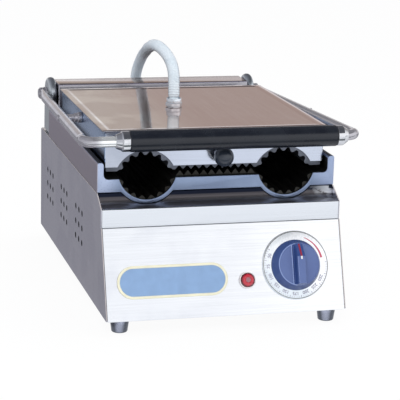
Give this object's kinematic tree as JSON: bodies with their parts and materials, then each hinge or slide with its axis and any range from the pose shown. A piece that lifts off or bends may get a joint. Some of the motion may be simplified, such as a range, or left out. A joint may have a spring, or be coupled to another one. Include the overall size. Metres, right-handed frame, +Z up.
{
  "type": "contact grill",
  "caption": "Countertop contact grill with a ribbed cast plate, half-round channels for rolled sandwiches, a hinged floating upper plate under a flat lid and a round heat control",
  "frame": {"origin": "middle of the bounding box in X and Y, on the table under the feet", "axes": "+Z up, +X to the right seen from the controls, +Y from the controls to the hinge"},
  "size_m": [0.3286, 0.5116, 0.2876],
  "materials": {
    "housing_steel": "bright satin stainless sheet",
    "lid_steel": "polished stainless sheet",
    "cast_plate": "as cast, seasoned on the ribs",
    "pillar_casting": "fine cast",
    "foot_rubber": "matt",
    "bush_brass": "turned",
    "heater_alloy": "oxidised",
    "bracket_steel": "plain",
    "spring_steel": "drawn wire",
    "insulator_ceramic": "matt",
    "dial_silver": "satin",
    "lamp_red": "translucent red",
    "badge_blue": "bare",
    "black_plastic": "moulded",
    "grip_plastic": "moulded",
    "knob_plastic": "moulded",
    "bright_steel": "plated",
    "mineral_wool": "felted"
  },
  "bodies": {
    "base": {"side_panel_left": "housing_steel", "side_panel_right": "housing_steel", "front_panel": "housing_steel", "back_panel": "housing_steel", "bottom_plate": "housing_steel", "top_deck": "housing_steel", "rear_cover": "housing_steel", "heat_shield": "housing_steel", "foot_front_left": "foot_rubber", "foot_front_right": "foot_rubber", "foot_rear_left": "foot_rubber", "foot_rear_right": "foot_rubber", "lower_cast_plate": "cast_plate", "hinge_pillar_left": "pillar_casting", "hinge_pillar_right": "pillar_casting", "hinge_bush_left": "bush_brass", "hinge_bush_right": "bush_brass", "lower_heater": "heater_alloy", "lower_heater_clamp": "bracket_steel", "thermostat_body": "insulator_ceramic", "thermostat_bulb": "heater_alloy", "dial_plate": "dial_silver", "lamp_bezel": "lamp_red", "lamp_lens": "lamp_red", "badge_plate": "badge_blue", "terminal_block": "insulator_ceramic", "cable_gland": "black_plastic", "conduit_elbow": "bright_steel", "conduit": "bright_steel", "torsion_spring_left": "spring_steel", "torsion_spring_right": "spring_steel"},
    "handle": {"handle_bar": "bright_steel", "grip_sleeve": "grip_plastic", "grip_ferrule_left": "bright_steel", "grip_ferrule_right": "bright_steel", "hinge_shaft": "bright_steel", "shaft_nut_left": "bright_steel", "shaft_nut_right": "bright_steel", "spring_collar_left": "bracket_steel", "spring_collar_right": "bracket_steel"},
    "upper_plate": {"upper_cast_plate": "cast_plate", "upper_heater": "heater_alloy", "upper_heater_clamp": "bracket_steel", "insulation_pad": "mineral_wool", "lid_skirt": "lid_steel", "lid_top_sheet": "lid_steel", "lid_connector": "bright_steel", "connector_locknut": "bush_brass", "pivot_bracket_left": "bracket_steel", "pivot_bracket_right": "bracket_steel", "pivot_pin_left": "bright_steel", "pivot_pin_right": "bright_steel"},
    "heat_control": {"thermostat_knob": "knob_plastic", "knob_stem": "bush_brass"},
    "tilt_lock": {"lock_knob": "black_plastic", "lock_hook": "spring_steel"}
  },
  "joints": [
    {"name": "arm_lift", "type": "hinge", "parent": "base", "child": "handle", "pos_m": [0, 0.15971, 0.2005], "axis": [-1, 0, 0], "range_deg": [0, 75], "deforming": ["conduit"]},
    {"name": "plate_tilt", "type": "hinge", "parent": "handle", "child": "upper_plate", "pos_m": [0, -0.03379, 0.20601], "axis": [1, 0, 0], "range_deg": [-1.5, 1.5]},
    {"name": "thermostat_turn", "type": "hinge", "parent": "base", "child": "heat_control", "pos_m": [0.0828, -0.22287, 0.06623], "axis": [0, 0.9407, -0.3392], "range_deg": [0, 270]},
    {"name": "lock_turn", "type": "hinge", "parent": "upper_plate", "child": "tilt_lock", "pos_m": [0.0057, -0.18379, 0.1865], "axis": [0, 1, 0], "range_deg": [0, 90]}
  ]
}
